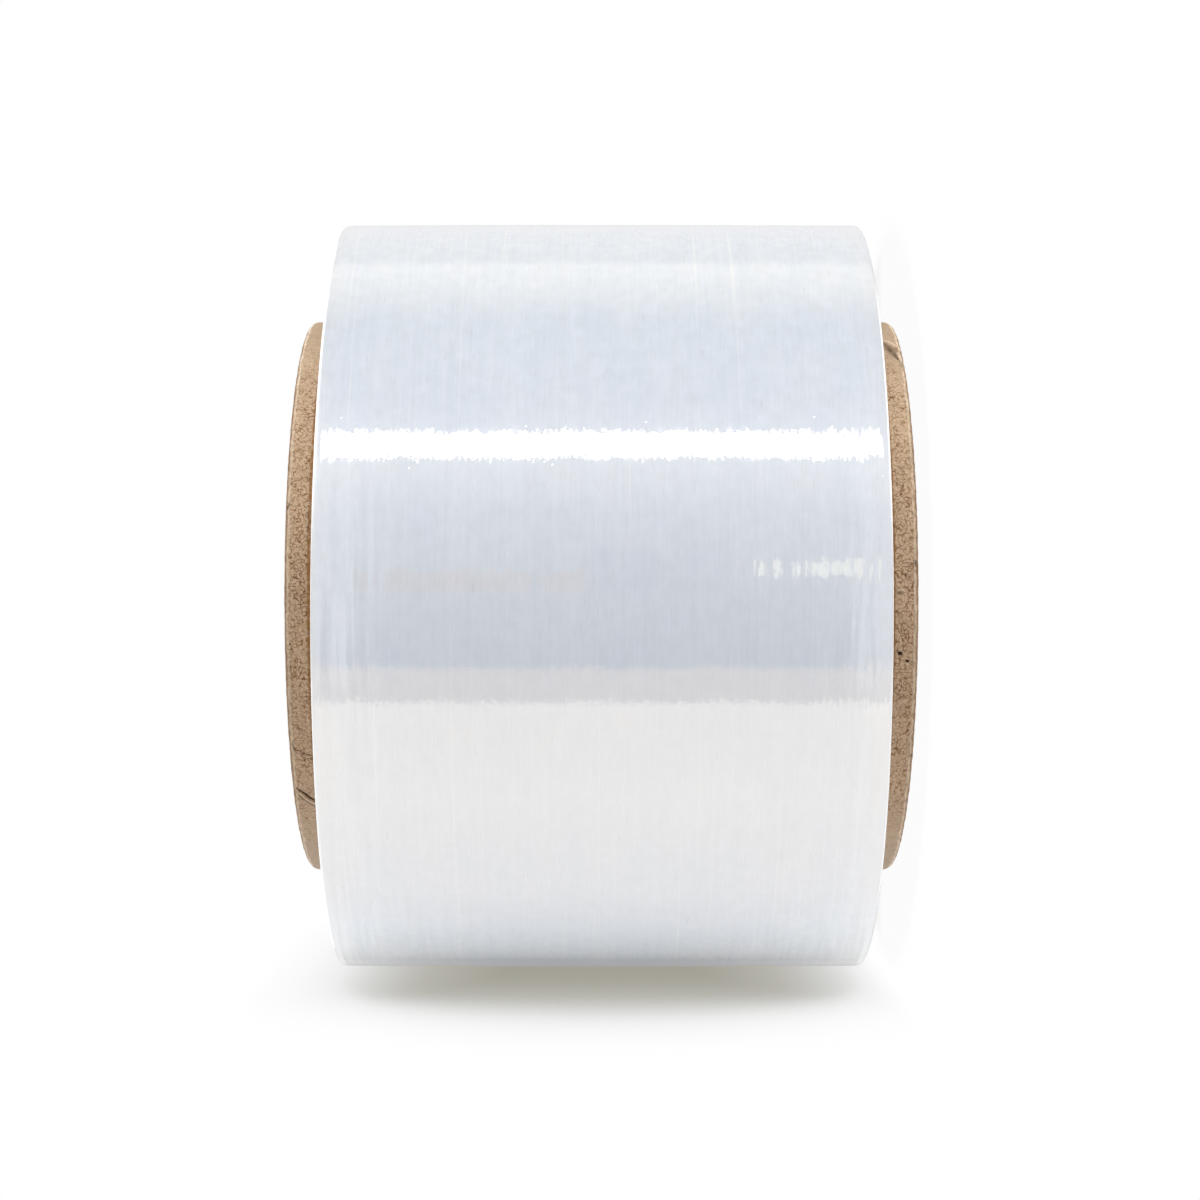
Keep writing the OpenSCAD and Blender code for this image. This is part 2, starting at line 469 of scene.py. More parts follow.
def scaled(tree, x, y, vector, scale):
    """A vector or a colour times a value."""
    made = node_in_order(
        tree, "ShaderNodeVectorMath", x, y, [vector], operation="SCALE", Scale=scale,
    )
    return made.outputs[0]


def mixed(tree, x, y, factor, first, second):
    """A colour that goes from the first to the second as the factor grows."""
    made = node(
        tree, "ShaderNodeMix", x, y, data_type="RGBA", Factor=factor, A=first, B=second,
    )
    return made.outputs["Result"]


def mixed_shaders(tree, x, y, factor, first, second):
    return node_in_order(tree, "ShaderNodeMixShader", x, y, [factor, first, second]).outputs[0]


def spread(tree, x, y, value, low, high, to_low, to_high):
    """The value's stretch from low to high, spread over another range and held at its ends."""
    made = node(
        tree, "ShaderNodeMapRange", x, y,
        Value=value, From_Min=low, From_Max=high, To_Min=to_low, To_Max=to_high,
    )
    return made.outputs[0]


def ramp(tree, x, y, value, stops):
    """A colour by where the value lies between the stops."""
    made = node_in_order(tree, "ShaderNodeValToRGB", x, y, [value])
    elements = made.color_ramp.elements
    for index, (position, tone) in enumerate(stops):
        stop = elements[index] if index < 2 else elements.new(1.0)
        stop.position = position
        stop.color = (*tone, 1)
    return made.outputs[0]


def noise(tree, x, y, place, scale, detail):
    made = node(tree, "ShaderNodeTexNoise", x, y, Vector=place, Scale=scale, Detail=detail)
    return made.outputs[0]


def noise_layer(tree, x, y, place, layer):
    """Noise with its values spread: the layer gives its scale and detail, and then the spread."""
    size, spreading = layer
    return spread(tree, x + 180, y, noise(tree, x, y, place, *size), *spreading)


def object_place(tree, x, y):
    """A point's place in its object, then the place's X, Y and Z."""
    place = node(tree, "ShaderNodeTexCoord", x, y).outputs["Object"]
    return place, *node(tree, "ShaderNodeSeparateXYZ", x + 180, y, Vector=place).outputs


def from_middle(tree, x, y, height):
    """How far a height is from the roll's middle, up or down."""
    level = math_node(tree, "SUBTRACT", x, y, height, ROLL_MIDDLE.z)
    return math_node(tree, "ABSOLUTE", x + 160, y, level)


def new_material(name):
    material = bpy.data.materials.new(name)
    material.use_nodes = True
    material.node_tree.nodes.clear()
    return material, material.node_tree


def show(tree, shader):
    node(tree, "ShaderNodeOutputMaterial", 1100, 0, Surface=shader)


def turning_noise_group():
    """Noise drawn out round the roll: fine across the turns and slow along them."""
    tree = bpy.data.node_groups.new("turning noise", "ShaderNodeTree")
    for label in ("Across", "Around", "Detail", "Seed"):
        tree.interface.new_socket(label, in_out="INPUT", socket_type="NodeSocketFloat")
    tree.interface.new_socket("Value", in_out="OUTPUT", socket_type="NodeSocketFloat")
    start = node(tree, "NodeGroupInput", -900, 0).outputs
    _, x_part, y_part, z_part = object_place(tree, -900, 300)
    flat = node(tree, "ShaderNodeCombineXYZ", -540, 380, X=x_part, Y=y_part).outputs[0]
    radius = vector_node(tree, "LENGTH", -360, 380, flat)
    unit = vector_node(tree, "NORMALIZE", -360, 220, flat)
    across = math_node(tree, "ADD", -180, 380, radius, z_part)
    across = math_node(tree, "DIVIDE", 0, 380, across, start["Across"])
    across = math_node(tree, "ADD", 180, 380, across, start["Seed"])
    around = math_node(tree, "DIVIDE", -180, 60, FILM_R, start["Around"])
    around = scaled(tree, 0, 200, unit, around)
    around = node(tree, "ShaderNodeSeparateXYZ", 180, 200, Vector=around).outputs
    where = node(tree, "ShaderNodeCombineXYZ", 360, 260, X=around["X"], Y=around["Y"], Z=across)
    value = noise(tree, 560, 260, where.outputs[0], 1.0, start["Detail"])
    node(tree, "NodeGroupOutput", 900, 0, Value=value)
    return tree


TURNING_NOISE = turning_noise_group()


def turning_noise(tree, x, y, across_mm, around_mm, detail, seed):
    made = node(
        tree, "ShaderNodeGroup", x, y, node_tree=TURNING_NOISE,
        Across=across_mm * MM, Around=around_mm * MM, Detail=detail, Seed=seed,
    )
    return made.outputs["Value"]


# Film's looks

FILM_COOL = (0.56, 0.622, 0.705, 1)
FILM_WARM = (0.60, 0.646, 0.71, 1)
# Painted light: a whiter tint at the shoulders, where light comes in through the end faces
FILM_SHOULDER_PAINTED_LIGHT = (0.605, 0.64, 0.69, 1)
FILM_WRINKLE = (0.80, 0.80, 0.75, 1)
# Painted shade along small wrinkles in the film
FILM_WRINKLE_SHADE = (0.47, 0.46, 0.48, 1)
FILM_SURFACE = {
    "Roughness": 0.05, "IOR": 3.4, "Coat Weight": 1.0, "Coat Roughness": 0.02, "Coat IOR": 1.6,
}
FILM_HALF_W = (FILM_TO - FILM_FROM) / 2
# The shoulders' painted light, a whiter tint where light comes in through the end faces, and
# the rougher ends, by the distance from the roll's middle, and the more creased lower end, by
# the height
SHOULDER_PAINTED_LIGHT = (FILM_HALF_W - 3.4 * MM, FILM_HALF_W - 1.4 * MM, 0.0, 1.0)
ROUGH_ENDS = (FILM_HALF_W - 9 * MM, FILM_HALF_W - 1 * MM, 1.0, 1.5)
CREASED_END = (FILM_FROM + 2 * MM, FILM_FROM + 12 * MM, 1.6, 1.0)
# Turning noise: its size across the turns and along them in millimetres, its detail and seed.
# The first three lean the surface by an amount, and the others' values are spread to a tone.
FINE_LEAN = (0.38, 1.8, 2.5, 3.0), 0.046
BROAD_LEAN = (2.6, 22, 1.0, 17.0), 0.014
LEAN_ALONG = (0.8, 14, 2.0, 31.0), 0.08
CLOUDS = (5.0, 11, 3.0, 71.0), (0.35, 0.65, 0.0, 1.0)
SHORT_STREAKS = (0.35, 3.5, 3.0, 47.0), (0.25, 0.75, 0.962, 1.038)
LONG_STREAKS = (0.9, 60, 2.0, 59.0), (0.25, 0.75, 0.968, 1.032)
WRINKLES = (0.5, 55, 0.5, 83.0), (0.68, 0.82, 0.0, 0.4)
# Painted shade along small wrinkles in the film
WRINKLE_SHADE_MARKS = (0.3, 2.2, 0.5, 97.0), (0.7, 0.84, 0.0, 0.5)
# Plain noise: its scale and detail, and what its values spread to
MOTTLE = (500.0, 5.0), (0.25, 0.75, 0.945, 1.055)
DIMPLES = (1500.0, 2.0), (0.0, 1.0, 0.0, 0.75)
SPECK_SCALE = 520.0
SPECK_SPREAD = (0.03, 0.08, 0.7, 0.0)
FILM_RELIEF_H = 0.009 * MM


def film_normal(tree, place, parts, off_middle):
    """The surface leans a little about the roll's axis from streak to streak, and along it too.
    Fine dimples and a few trapped specks break up the edges of what it reflects."""
    x_part, y_part, z_part = parts
    flat = node(tree, "ShaderNodeNewGeometry", -1500, -300).outputs["Normal"]
    back_y = math_node(tree, "MULTIPLY", -1320, -60, y_part, -1.0)
    swap = node(tree, "ShaderNodeCombineXYZ", -1140, -100, X=back_y, Y=x_part)
    round_way = vector_node(tree, "NORMALIZE", -960, -100, swap.outputs[0])
    across_way = vector_node(tree, "CROSS_PRODUCT", -960, -260, flat, round_way)

    def lean(y, size, amount):
        centred = math_node(tree, "SUBTRACT", -1140, y, turning_noise(tree, -1320, y, *size), 0.5)
        return math_node(tree, "MULTIPLY", -980, y, centred, amount)

    rough = spread(tree, -780, 180, off_middle, *ROUGH_ENDS)
    creased = spread(tree, -900, -320, z_part, *CREASED_END)
    about_axis = math_node(tree, "ADD", -820, -520, lean(-480, *FINE_LEAN), lean(-640, *BROAD_LEAN))
    about_axis = math_node(tree, "MULTIPLY", -740, -480, about_axis, rough)
    about_axis = math_node(tree, "MULTIPLY", -740, -320, about_axis, creased)
    about_axis = scaled(tree, -640, -200, round_way, about_axis)
    along_axis = scaled(tree, -640, -380, across_way, lean(-800, *LEAN_ALONG))
    leaning = vector_node(tree, "ADD", -460, -260, flat, about_axis)
    leaning = vector_node(tree, "ADD", -300, -260, leaning, along_axis)
    leaning = vector_node(tree, "NORMALIZE", -140, -260, leaning)

    dimples = noise_layer(tree, -460, -500, place, DIMPLES)
    grit = node(tree, "ShaderNodeTexVoronoi", -460, -700, Vector=place, Scale=SPECK_SCALE)
    specks = spread(tree, -280, -700, grit.outputs["Distance"], *SPECK_SPREAD)
    bump = node(
        tree, "ShaderNodeBump", 60, -400, Normal=leaning, Strength=1.0, Distance=FILM_RELIEF_H,
        Height=math_node(tree, "ADD", -120, -560, dimples, specks),
    )
    return bump.outputs[0]


def film_colour(tree, place, off_middle):
    """A cool clear white, cloudy from patch to patch, whiter at the shoulders with painted light
    through the end faces, streaked, and with painted shade along small wrinkles.
    """
    def turning_layer(y, size, spreading):
        return spread(tree, -960, y, turning_noise(tree, -1140, y, *size), *spreading)

    # Painted light at the shoulders, where light comes in through the end faces
    shoulder = spread(tree, -780, 340, off_middle, *SHOULDER_PAINTED_LIGHT)
    colour = mixed(tree, -780, 900, turning_layer(900, *CLOUDS), FILM_COOL, FILM_WARM)
    colour = mixed(tree, -560, 400, shoulder, colour, FILM_SHOULDER_PAINTED_LIGHT)
    tone = math_node(
        tree, "MULTIPLY", -760, 560,
        turning_layer(560, *SHORT_STREAKS), turning_layer(680, *LONG_STREAKS),
    )
    mottle = noise_layer(tree, -1140, 1060, place, MOTTLE)
    tone = math_node(tree, "MULTIPLY", -600, 620, tone, mottle)
    colour = scaled(tree, -360, 440, colour, tone)
    colour = mixed(tree, -160, 440, turning_layer(780, *WRINKLES), colour, FILM_WRINKLE)
    # Painted shade along small wrinkles
    return mixed(tree, 40, 440, turning_layer(1220, *WRINKLE_SHADE_MARKS), colour, FILM_WRINKLE_SHADE)


def film_material():
    """Clear film in many turns: milky, glossy, with streaks that run round the roll."""
    material, tree = new_material("clear_film")
    place, *parts = object_place(tree, -1500, 100)
    off_middle = from_middle(tree, -1140, 340, parts[2])
    normal = film_normal(tree, place, parts, off_middle)
    surface = node(
        tree, "ShaderNodeBsdfPrincipled", 700, 0,
        Base_Color=film_colour(tree, place, off_middle),
        Normal=normal, Coat_Normal=normal, **FILM_SURFACE,
    )
    show(tree, surface.outputs[0])
    return material


# Tube's looks

KRAFT_DARK = (0.22, 0.10, 0.045)
KRAFT_MIDDLE = (0.55, 0.358, 0.214)
KRAFT_PALE = (0.775, 0.567, 0.392)
KRAFT_TONES = [(0.0, KRAFT_DARK), (0.28, KRAFT_MIDDLE), (0.60, KRAFT_PALE)]
# Painted greyer light from the shaded table, on the tube's side towards it
KRAFT_TABLE_LIGHT_GREY = (0.37, 0.315, 0.27, 1)
# Brown for painted shade at the lip and by the film's root, and for the fibre flecks
KRAFT_SHADE_AND_FLECK_BROWN = (0.36, 0.165, 0.05, 1)
# Painted shade in the marks' creases, pits and cracks
KRAFT_CREASE_SHADE = (0.06, 0.025, 0.008, 1)
# Painted highlight, on the lip's round and the marks' raised folds
KRAFT_PAINTED_HIGHLIGHT = (0.92, 0.73, 0.54, 1)
KRAFT_SURFACE = {
    "Roughness": 0.85, "Specular IOR Level": 0.15, "IOR": 1.4,
    "Sheen Weight": 0.08, "Sheen Roughness": 0.5,
}
FIBRE_RELIEF_H, FIBRE_RELIEF_STRENGTH = 0.05 * MM, 0.6
# Curled fibres, dark where noise crosses its middle: the place of the noise's nodes, its scale
# and offset, and how dark its lines are at most
CURLS = ((560, 1800.0, 0.0, 1.0), (900, 2700.0, 3.7, 0.4))
CURL_DETAIL = 0.6
CURL_HALF_W = 0.08
FIBRE_SHADE = -0.64
# Plain noise: its scale and detail, and what its values spread to
PATCHES = (420.0, 2.0), (0.3, 0.7, 0.5, 1.05)
GRAIN = (2600.0, 2.0), (0.2, 0.8, 0.36, 0.68)
BOARD_CLOUDS = (260.0, 3.0), (0.0, 1.0, 0.88, 1.12)
LIP_WANDER = (700.0, 2.0), (0.3, 0.7, -0.1 * MM, 0.1 * MM)
LIP_DASHES = (1300.0, 0.5), (0.35, 0.62, 0.45, 1.0)
FLECKS = (1100.0, 0.5), (0.7, 0.78, 0.0, 0.7)
# Where the outer face begins in the lip's round, over a distance from the axis
OUTER_SPREAD = (TUBE_R - LIP_R, TUBE_R - 0.6 * LIP_R, 0.0, 1.0)
# The two sides of the outer face, by the distance towards them: how strong the fibres are, how
# much painted shade darkens the board on the side away from the table, and how much painted
# greyer light from the table it takes on the side towards it
SIDE_FIBRES = (0.66 * TUBE_R, 0.86 * TUBE_R, 1.0, 0.3)
FAR_SIDE_PAINTED_SHADE = (0.6 * TUBE_R, TUBE_R, 1.0, 0.64)
NEAR_SIDE_TABLE_LIGHT = (-TUBE_R, -0.6 * TUBE_R, 0.5, 0.0)
# The painted highlight round the lip, where its round catches light, by the distance from its
# middle, and the painted brown shade outside it, where the round turns away, and by the film's
# root, by the distance from the tube's end. Under the film's rim the brown fades.
LIP_HIGHLIGHT_INSET = 0.5 * MM
LIP_HIGHLIGHT = (0.08 * MM, 0.24 * MM, 1.0, 0.0)
LIP_EDGE_SHADE = (0.24 * MM, 0.34 * MM, 0.62, 0.0)
FILM_ROOT_SHADE = (3.12 * MM, 3.28 * MM, 0.0, 1.0)
FILM_ROOT_SHADE_FADE = (3.5 * MM, 4.5 * MM, 1.0, 0.25)


def kraft_fibres(tree, place, to_side):
    """Curled dark fibres in patches over a fine grain, pressed flat and pale at the two sides of
    the tube's outer face: a value from dark to light."""
    lines = []
    for y, scale, offset, most in CURLS:
        moved = vector_node(tree, "ADD", -1300, y, place, (offset, offset, offset))
        curls = noise(tree, -1120, y, moved, scale, CURL_DETAIL)
        level = math_node(tree, "SUBTRACT", -940, y, curls, 0.5)
        level = math_node(tree, "ABSOLUTE", -800, y, level)
        lines.append(spread(tree, -660, y, level, 0.0, CURL_HALF_W, most, 0.0))
    fibres = math_node(tree, "MAXIMUM", -480, 640, *lines)
    patches = noise_layer(tree, -1120, 1200, place, PATCHES)
    fibres = math_node(tree, "MULTIPLY", -320, 640, fibres, patches)
    sideways = math_node(tree, "ABSOLUTE", -480, 800, to_side)
    pressed = spread(tree, -320, 800, sideways, *SIDE_FIBRES)
    fibres = math_node(tree, "MULTIPLY", -160, 640, fibres, pressed)
    grain = noise_layer(tree, -1120, 260, place, GRAIN)
    fibres = math_node(tree, "MULTIPLY", -480, 360, fibres, FIBRE_SHADE)
    return math_node(tree, "ADD", -320, 360, fibres, grain)


def kraft_board(tree, place, to_side, fibres):
    """The board's colour, cloudy, with painted shade that darkens it a little on the side away from
    the table, and painted greyer light from the table on the side towards it."""
    colour = ramp(tree, -760, 240, fibres, KRAFT_TONES)
    # Painted greyer light from the table on the side towards it
    table_light = spread(tree, -760, 420, to_side, *NEAR_SIDE_TABLE_LIGHT)
    colour = mixed(tree, -600, 240, table_light, colour, KRAFT_TABLE_LIGHT_GREY)
    clouds = noise_layer(tree, -1000, 60, place, BOARD_CLOUDS)
    # Painted shade on the side away from the table
    far_side_shade = spread(tree, -760, -40, to_side, *FAR_SIDE_PAINTED_SHADE)
    tone = math_node(tree, "MULTIPLY", -600, 60, clouds, far_side_shade)
    return scaled(tree, -460, 240, colour, tone)


def kraft_lip(tree, place, height, outer, colour):
    """The colour with a painted highlight round the lip where its round catches light, painted
    brown shade outside it where the round turns away and by the film's root, and brown fibre
    flecks all over."""
    off_middle = from_middle(tree, -1300, -400, height)
    inset = math_node(tree, "SUBTRACT", -980, -400, (TUBE_TO - TUBE_FROM) / 2, off_middle)
    wander = noise_layer(tree, -1300, -760, place, LIP_WANDER)
    uneven = math_node(tree, "ADD", -820, -400, inset, wander)
    from_line = math_node(tree, "SUBTRACT", -660, -400, uneven, LIP_HIGHLIGHT_INSET)
    from_line = math_node(tree, "ABSOLUTE", -500, -400, from_line)
    # Painted highlight where the lip's round catches light
    lip_highlight = spread(tree, -340, -400, from_line, *LIP_HIGHLIGHT)
    # Painted shade where the lip's round turns away, and by the film's root
    lip_edge_shade = spread(tree, -340, -560, uneven, *LIP_EDGE_SHADE)
    film_root_shade = spread(tree, -340, -720, inset, *FILM_ROOT_SHADE)
    fading = spread(tree, -340, -980, inset, *FILM_ROOT_SHADE_FADE)
    film_root_shade = math_node(tree, "MULTIPLY", -260, -800, film_root_shade, fading)
    brown_shade_and_flecks = math_node(tree, "MAXIMUM", -260, -640, lip_edge_shade, film_root_shade)
    dashes = noise_layer(tree, -1300, -940, place, LIP_DASHES)
    dashes = math_node(tree, "MULTIPLY", -820, -940, dashes, outer)
    brown_shade_and_flecks = math_node(tree, "MULTIPLY", -140, -640, brown_shade_and_flecks, dashes)
    lip_highlight = math_node(tree, "MULTIPLY", -180, -480, lip_highlight, dashes)
    flecks = noise_layer(tree, -1000, -100, place, FLECKS)
    brown_shade_and_flecks = math_node(tree, "MAXIMUM", 140, -640, brown_shade_and_flecks, flecks)
    # Painted brown shade at the lip and by the film, with the fibre flecks
    colour = mixed(tree, -220, 420, brown_shade_and_flecks, colour, KRAFT_SHADE_AND_FLECK_BROWN)
    return mixed(tree, -60, 420, lip_highlight, colour, KRAFT_PAINTED_HIGHLIGHT)


def kraft_mark_shading(tree, colour):
    """The colour with the tube's marks: painted shade where their shade is negative, in creases,
    pits and cracks, and a painted highlight where it is positive, on raised folds and lifted edges.
    """
    mark_shade_and_highlight = node(tree, "ShaderNodeAttribute", -760, -200, attribute_name="mark_shade_and_highlight").outputs["Fac"]
    dark = math_node(tree, "MULTIPLY", -560, -140, mark_shade_and_highlight, -1.0)
    dark = node(tree, "ShaderNodeClamp", -400, -140, Value=dark).outputs[0]
    pale = node(tree, "ShaderNodeClamp", -400, -300, Value=mark_shade_and_highlight).outputs[0]
    # Painted shade in the marks' creases, pits and cracks, and painted highlights on their raised
    # folds
    colour = mixed(tree, -220, 200, dark, colour, KRAFT_CREASE_SHADE)
    return mixed(tree, -40, 200, pale, colour, KRAFT_PAINTED_HIGHLIGHT)


def kraft_material():
    """Brown paper board: mottled short fibres, a painted highlight round the lip, and creases with
    painted shade and highlights.
    """
    material, tree = new_material("kraft_board")
    place, x_part, y_part, z_part = object_place(tree, -1300, 100)
    flat = node(tree, "ShaderNodeCombineXYZ", -1140, -560, X=x_part, Y=y_part)
    radius = vector_node(tree, "LENGTH", -980, -560, flat.outputs[0])
    outer = spread(tree, -820, -560, radius, *OUTER_SPREAD)
    to_side = math_node(tree, "MULTIPLY", -640, 900, x_part, outer)
    fibres = kraft_fibres(tree, place, to_side)
    colour = kraft_board(tree, place, to_side, fibres)
    colour = kraft_lip(tree, place, z_part, outer, colour)
    bump = node(
        tree, "ShaderNodeBump", 300, -200,
        Height=fibres, Distance=FIBRE_RELIEF_H, Strength=FIBRE_RELIEF_STRENGTH,
    )
    surface = node(
        tree, "ShaderNodeBsdfPrincipled", 700, 0,
        Base_Color=kraft_mark_shading(tree, colour), Normal=bump.outputs[0], **KRAFT_SURFACE,
    )
    show(tree, surface.outputs[0])
    return material


# Stage, lights and camera

WORLD_WHITE = (1, 1, 1, 1)
WORLD_SOFT = (1.0, 0.965, 0.91, 1)
WORLD_LEVEL = 0.43


def make_world():
    """White where it is seen, mirrored or looked through, and a soft warm white as a light."""
    world = bpy.data.worlds.new("studio")
    bpy.context.scene.world = world
    world.use_nodes = True
    tree = world.node_tree
    tree.nodes.clear()
    white = node(tree, "ShaderNodeBackground", 0, 100, Color=WORLD_WHITE)
    soft = node(tree, "ShaderNodeBackground", 0, -100, Color=WORLD_SOFT, Strength=WORLD_LEVEL)
    rays = node(tree, "ShaderNodeLightPath", 0, 200).outputs
    seen = math_node(tree, "MAXIMUM", 180, 200, rays["Is Camera Ray"], rays["Is Glossy Ray"])
    seen = math_node(tree, "MAXIMUM", 340, 200, seen, rays["Is Transmission Ray"])
    both = mixed_shaders(tree, 520, 0, seen, soft.outputs[0], white.outputs[0])
    node(tree, "ShaderNodeOutputWorld", 900, 0, Surface=both)


# How open a spot of the paper is, from covered to clear, and the tone of the painted shadow it
# then glows with
SIDE_SHADE = [
    (0.0, (0.33, 0.32, 0.27)),
    (0.13, (0.40, 0.39, 0.34)),
    (0.27, (0.47, 0.46, 0.41)),
    (0.33, (0.53, 0.52, 0.49)),
    (0.41, (0.63, 0.63, 0.61)),
    (0.53, (0.86, 0.86, 0.86)),
    (0.63, (0.945, 0.945, 0.945)),
    (0.75, (1.0, 1.0, 1.0)),
]
FLOOR_SHADE = [
    (0.0, (0.40, 0.40, 0.39)),
    (0.06, (0.62, 0.62, 0.61)),
    (0.16, (0.82, 0.82, 0.82)),
    (0.36, (0.965, 0.965, 0.965)),
    (0.6, (1.0, 1.0, 1.0)),
]
# On the camera's side of the roll the floor has painted light in under the film: how open it is
# taken to be there at least, over the distance behind the roll's axis
PAINTED_FRONT_LIGHT = (4 * MM, 32 * MM, 0.38, 0.0)
# Under the roll's two ends the paper has painted light, as if light came in from the side: how
# open it is taken to be there at least, by its distance from the roll's middle
PAINTED_END_LIGHT = (14 * MM, 56 * MM, 0.05, 0.87)
PAINTED_END_LIGHT_BLEND = 0.12
# The same painted light fades the sheet into the floor that it stands on, over its height
PAINTED_FOOT_LIGHT = (0.0, 12 * MM, 0.85, 0.0)
PAINTED_FOOT_LIGHT_BLEND = 0.2
SHADE_REACH = 0.4
SHADE_SAMPLES = 20


def paper_material(name, shade, beside_roll):
    """Pale paper that glows white in the open and shows a painted soft shadow where the roll covers
    it: a glow whose tone follows how open each spot is. The sheet beside the roll has painted light
    in under the roll's ends, and shows from one side only."""
    material, tree = new_material(name)
    openness = node(
        tree, "ShaderNodeAmbientOcclusion", -500, 0, samples=SHADE_SAMPLES, Distance=SHADE_REACH,
    )
    how_open = openness.outputs["AO"]
    _, _, y_part, z_part = object_place(tree, -1000, 240)
    if beside_roll:
        off_middle = from_middle(tree, -680, 240, z_part)
        # Painted light in under the roll's ends
        least = spread(tree, -400, 240, off_middle, *PAINTED_END_LIGHT)
        how_open = math_node(tree, "SMOOTH_MAX", -240, 200, how_open, least, PAINTED_END_LIGHT_BLEND)
        # Painted light at the sheet's foot
        foot = spread(tree, -400, 480, z_part, *PAINTED_FOOT_LIGHT)
        how_open = math_node(tree, "SMOOTH_MAX", -240, 420, how_open, foot, PAINTED_FOOT_LIGHT_BLEND)
    else:
        # Painted light in under the film on the camera's side
        least = spread(tree, -400, 240, y_part, *PAINTED_FRONT_LIGHT)
        how_open = math_node(tree, "MAXIMUM", -240, 200, how_open, least)
    # The tone is a painted shadow, a glow by how open the spot is
    tone = ramp(tree, -260, 0, how_open, shade)
    result = node(tree, "ShaderNodeEmission", 60, 0, Color=tone).outputs[0]
    if beside_roll:
        behind = node(tree, "ShaderNodeNewGeometry", 60, 300).outputs["Backfacing"]
        clear = node(tree, "ShaderNodeBsdfTransparent", 60, -200).outputs[0]
        result = mixed_shaders(tree, 400, 0, behind, result, clear)
    show(tree, result)
    return material


def staged(name, points, faces, material):
    made = new_object(name, points, faces)
    made.data.materials.append(material)
    return made


FLOOR_REACH = 6.0


def make_floor():
    """The floor shows a painted shadow of the roll, but neither dims nor lights the roll itself,
    whose two ends the photograph's studio lights alike."""
    w = FLOOR_REACH
    floor = staged(
        "floor", [(-w, -w, 0), (w, -w, 0), (w, w, 0), (-w, w, 0)], [(0, 1, 2, 3)],
        paper_material("floor_paper", FLOOR_SHADE, False),
    )
    floor.visible_diffuse = False
    floor.visible_glossy = False
    floor.visible_shadow = False


SIDE_GAP = 0.02 * MM
SIDE_REACH = 0.2
SIDE_SPARE = 0.15


def make_side_paper():
    """A sheet of the same paper beside the roll, which shows a painted soft shadow under the roll
    in the main view. It is seen from the roll's side only and throws no light or shadow of its own."""
    x = -FILM_R - SIDE_GAP
    r = SIDE_REACH
    low, high = TUBE_FROM - SIDE_SPARE, TUBE_TO + SIDE_SPARE
    sheet = staged(
        "side_paper",
        [(x, -r, low), (x, r, low), (x, r, high), (x, -r, high)], [(0, 1, 2, 3)],
        paper_material("side_paper", SIDE_SHADE, True),
    )
    sheet.visible_diffuse = False
    sheet.visible_glossy = False
    sheet.visible_transmission = False
    sheet.visible_shadow = False


SURROUND_R = 0.75
SURROUND_LOW, SURROUND_HIGH = -0.75, 0.85
SURROUND_STEPS = 144

# What the film's gloss shows of the studio: an angle round the roll, from the camera's side
# towards the photograph's top, and the tone there. It lights nothing.
SURROUND_TONES = [
    (-180, (0.38, 0.38, 0.38)),
    (-146, (0.38, 0.38, 0.38)),
    (-115, (1.16, 1.17, 1.21)),
    (-96, (1.55, 1.52, 1.53)),
    (-60, (1.85, 1.80, 1.77)),
    (-30.0, (1.84, 1.78, 1.74)),
    (-29.7, (1.41, 1.37, 1.39)),
    (-20.8, (1.39, 1.35, 1.38)),
    (-20.5, (1.08, 1.14, 1.27)),
    (0, (1.15, 1.19, 1.31)),
    (10, (1.18, 1.21, 1.33)),
    (24, (1.22, 1.25, 1.37)),
    (30, (1.31, 1.33, 1.42)),
    (37, (1.40, 1.41, 1.48)),
    (49, (1.27, 1.29, 1.40)),
    (58, (1.12, 1.14, 1.24)),
    (86, (0.93, 0.95, 1.02)),
    (101, (1.17, 1.13, 1.10)),
    (115, (1.28, 1.22, 1.17)),
    (118, (1.01, 0.98, 0.97)),
    (150, (0.94, 0.92, 0.92)),
    (180, (0.72, 0.73, 0.75)),
]
# The surround is brighter beyond the roll's two ends: by how much, over the angle, and how
# steeply that grows with the distance from the roll's middle
SURROUND_GLOW = [
    (-180, (0.0, 0.3)),
    (-150, (0.50, 0.32)),
    (-131, (0.46, 0.32)),
    (-112, (0.30, 0.28)),
    (-96, (0.12, 0.4)),
    (-60, (0.04, 0.5)),
    (-30, (0.08, 0.6)),
    (-20, (0.17, 0.7)),
    (-6, (0.17, 0.7)),
    (12, (0.12, 0.6)),
    (24, (0.10, 0.6)),
    (50, (0.07, 0.6)),
    (80, (0.0, 0.6)),
]
GLOW_COLOUR = (1.0, 1.0, 0.97)
# The glow grows with the distance from the roll's middle as a part of this reach, up to a cap
GLOW_REACH = 113 * MM
GLOW_CAP = 1.1
# The power that it grows with is its steepness times this
POWER_SCALE = 10.0
# What the film's rounded rims show, high and low beyond the roll's ends: the tone, over the
# angle, and the heights from the roll's middle over which it takes over
END_CARD_TONES = [
    (-180, (2.0, 2.0, 2.0)),
    (-50, (2.0, 2.0, 2.0)),
    (-20, (1.5, 1.5, 1.5)),
    (20, (1.5, 1.5, 1.5)),
    (50, (2.3, 2.3, 2.3)),
    (180, (2.3, 2.3, 2.3)),
]
UPPER_TONE_FROM, UPPER_TONE_TO = 0.25, 0.32
LOWER_TONE_FROM, LOWER_TONE_TO = -0.48, -0.56


def round_point(angle_deg, radius, z):
    """A point round the roll, by its angle from the camera's side towards +X."""
    angle = math.radians(angle_deg)
    return radius * math.sin(angle), -radius * math.cos(angle), z


def glow_material(name):
    """A material that only glows, and its glow, whose colour the caller gives."""
    material, tree = new_material(name)
    glow = node(tree, "ShaderNodeEmission", 300, 0)
    show(tree, glow.outputs[0])
    return material, tree, glow.inputs["Color"]


def only_reflected(made):
    made.visible_camera = False
    made.visible_diffuse = False
    made.visible_transmission = False
    made.visible_shadow = False


